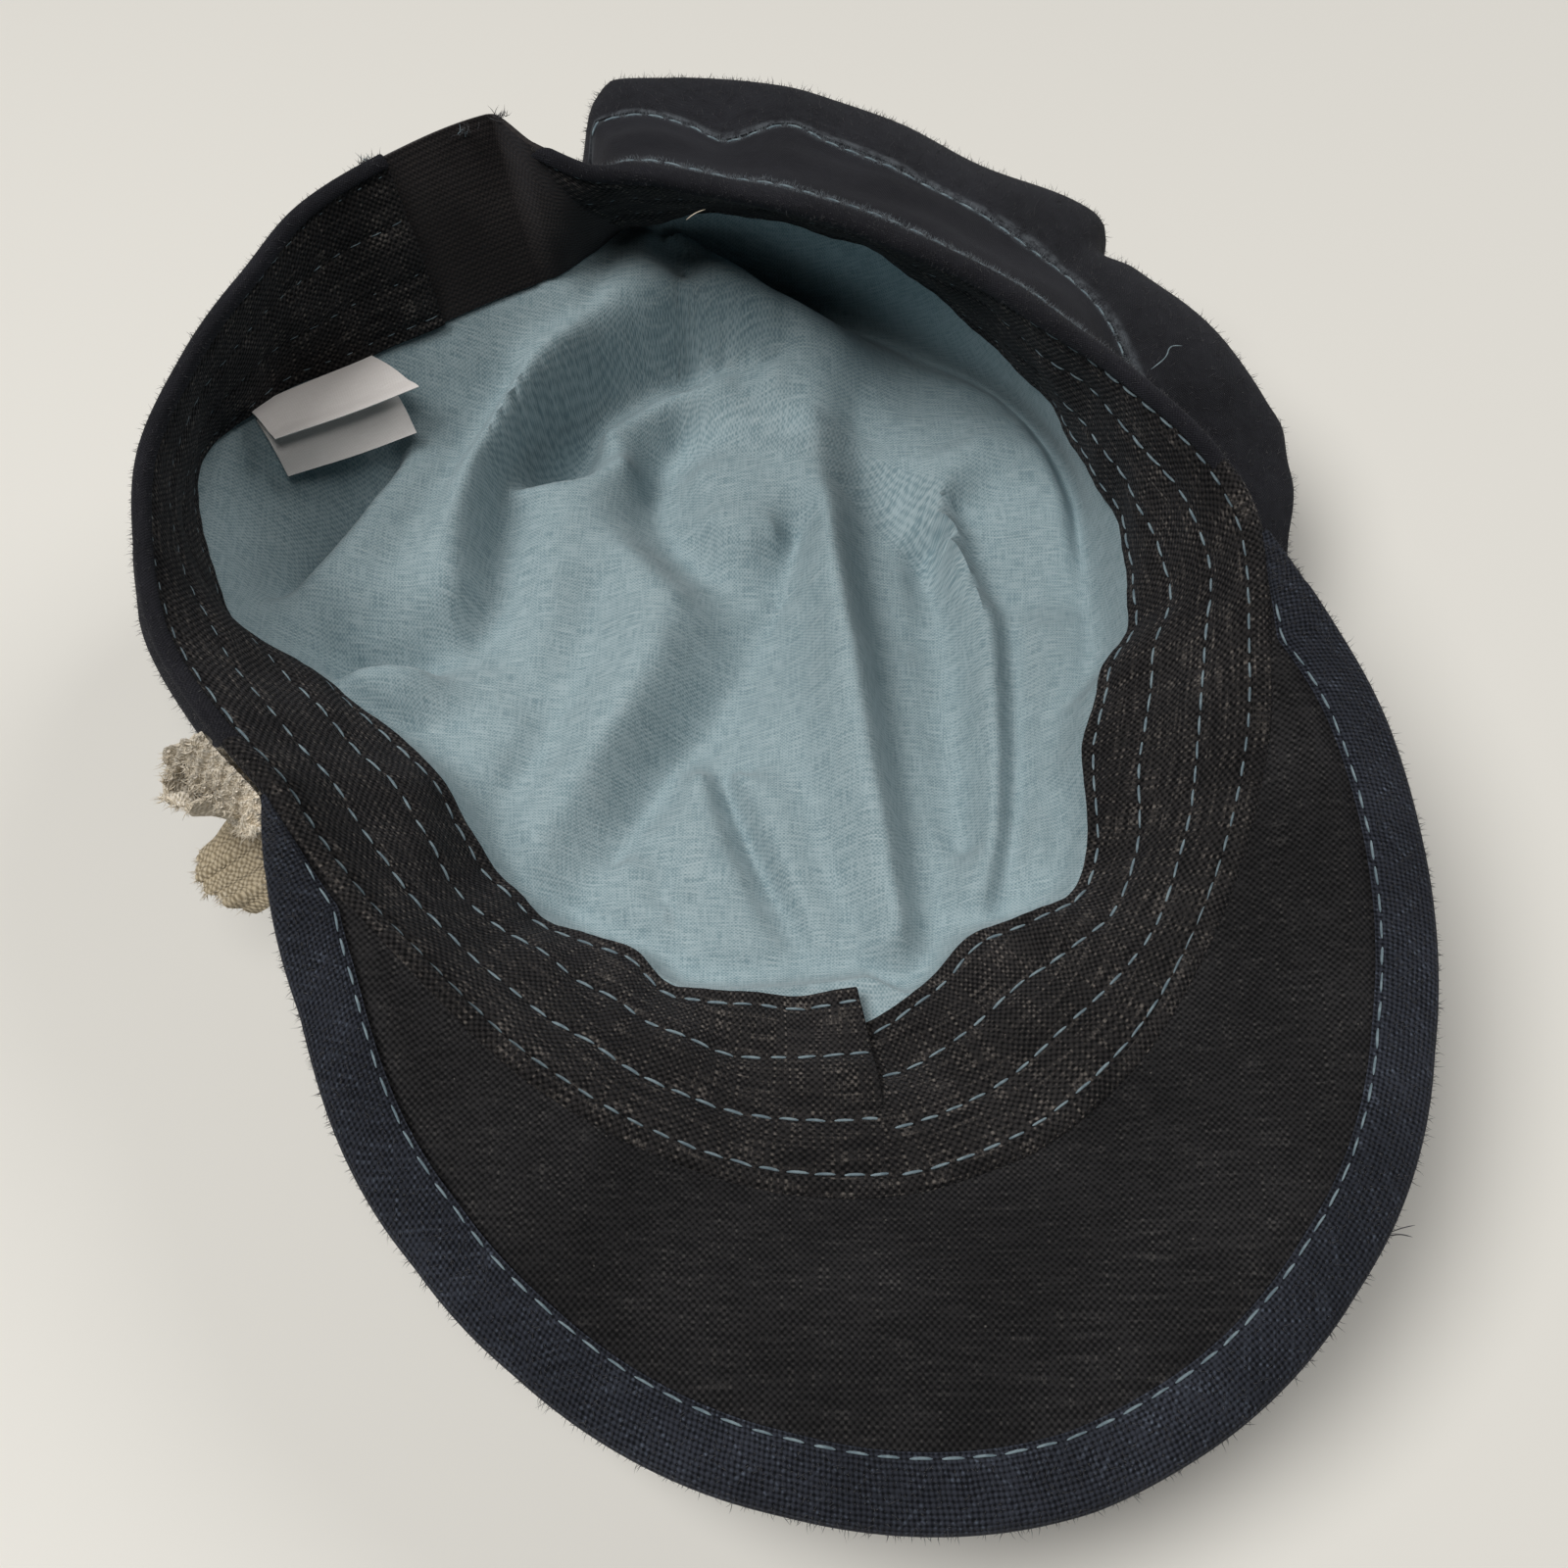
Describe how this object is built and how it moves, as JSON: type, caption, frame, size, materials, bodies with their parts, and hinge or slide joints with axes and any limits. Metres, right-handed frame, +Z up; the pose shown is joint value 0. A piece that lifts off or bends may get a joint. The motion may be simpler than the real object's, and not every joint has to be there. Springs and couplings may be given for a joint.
{
  "type": "cadet cap",
  "caption": "Soft cotton cadet cap with a bound peak, lined crown, stitched headband and back elastic, lying upside down on its crown.",
  "frame": {"origin": "on the flat of the crown that rests on the floor, under the middle of the head opening", "axes": "-Y towards the tip of the peak, +X to the right seen from behind the peak's edge, +Z up out of the head opening"},
  "size_m": [0.2213, 0.2848, 0.0794],
  "materials": {
    "navy_cotton": "washed dark cotton, worn pale at the edges",
    "black_weave": "plain weave dark cotton",
    "teal_lining": "fine pale teal cotton",
    "elastic_knit": "plain dark elastic",
    "bias_binding": "bias cut navy cotton",
    "white_satin": "bare satin",
    "beige_linen": "frayed linen"
  },
  "bodies": {
    "root": {"crown": "navy_cotton", "lining": "teal_lining", "band": "navy_cotton", "sweatband": "black_weave", "elastic": "elastic_knit", "peak_cover": "navy_cotton", "peak_underside": "black_weave", "peak_binding": "bias_binding", "label_front": "white_satin", "label_back": "white_satin", "rosette_curl": "beige_linen", "rosette_petal": "beige_linen"}
  },
  "joints": []
}
